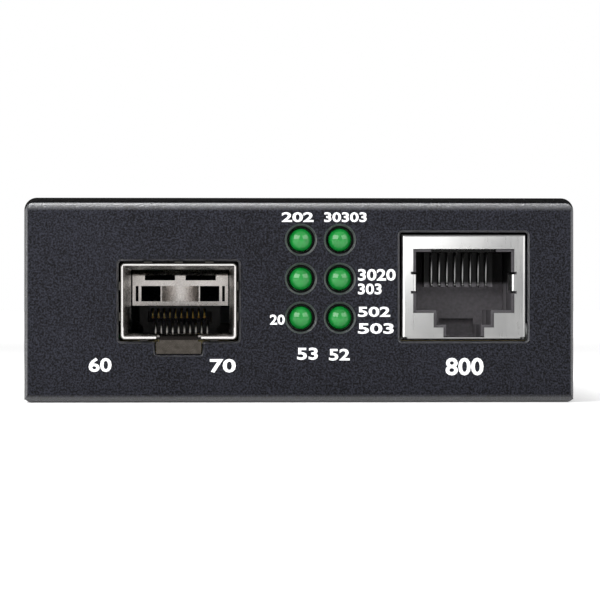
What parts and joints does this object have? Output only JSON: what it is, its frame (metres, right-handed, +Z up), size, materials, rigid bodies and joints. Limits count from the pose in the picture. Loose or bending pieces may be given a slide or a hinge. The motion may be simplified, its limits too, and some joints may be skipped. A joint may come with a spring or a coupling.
{
  "type": "fibre media converter",
  "caption": "Small folded-steel case holding a board with a fibre module cage, a shielded network jack, green status lamps and a power inlet.",
  "frame": {"origin": "middle of the case's underside", "axes": "+Z up, the front panel with the module cage and the network jack faces -Y, the power inlet faces +Y, +X is the viewer's right"},
  "size_m": [0.07, 0.0945, 0.026],
  "materials": {
    "case_coat": "wrinkle powder coat, matt",
    "screw_black": "black oxide",
    "steel_plated": "zinc plated",
    "brass_nickel": "nickel plated",
    "board_laminate": "solder mask",
    "cage_metal": "tin plated",
    "spring_metal": "bright",
    "connector_black": "moulded",
    "jack_metal": "satin nickel",
    "gold_contact": "gold plated",
    "tin_contact": "tinned",
    "lamp_green": "clear moulded",
    "chip_black": "moulded",
    "can_metal": "drawn",
    "coil_ferrite": "ferrite"
  },
  "bodies": {
    "root": {"base_tray": "case_coat", "board_pillars": "brass_nickel", "board_screws": "steel_plated", "cage_base": "cage_metal", "cage_shell": "cage_metal", "cage_spring_fingers": "spring_metal", "capacitor_can": "can_metal", "card_connector_body": "connector_black", "card_contacts_lower": "tin_contact", "card_contacts_upper": "gold_contact", "controller_chip": "chip_black", "cover_screws": "screw_black", "crystal_can": "can_metal", "inlet_body": "connector_black", "inlet_leaf_contact": "tin_contact", "inlet_pin": "tin_contact", "inlet_side_contact": "tin_contact", "jack_contacts": "tin_contact", "jack_insert": "connector_black", "jack_shield": "jack_metal", "lamp_holder_left": "connector_black", "lamp_holder_right": "connector_black", "lamp_leads": "tin_contact", "lamp_lower_left": "lamp_green", "lamp_lower_right": "lamp_green", "lamp_middle_left": "lamp_green", "lamp_middle_right": "lamp_green", "lamp_upper_left": "lamp_green", "lamp_upper_right": "lamp_green", "magnetics_leads": "tin_contact", "magnetics_module": "chip_black", "main_board": "board_laminate", "memory_chip": "chip_black", "memory_leads": "tin_contact", "power_coil": "coil_ferrite", "regulator_chip": "chip_black", "regulator_leads": "tin_contact", "top_cover": "case_coat"}
  },
  "joints": []
}
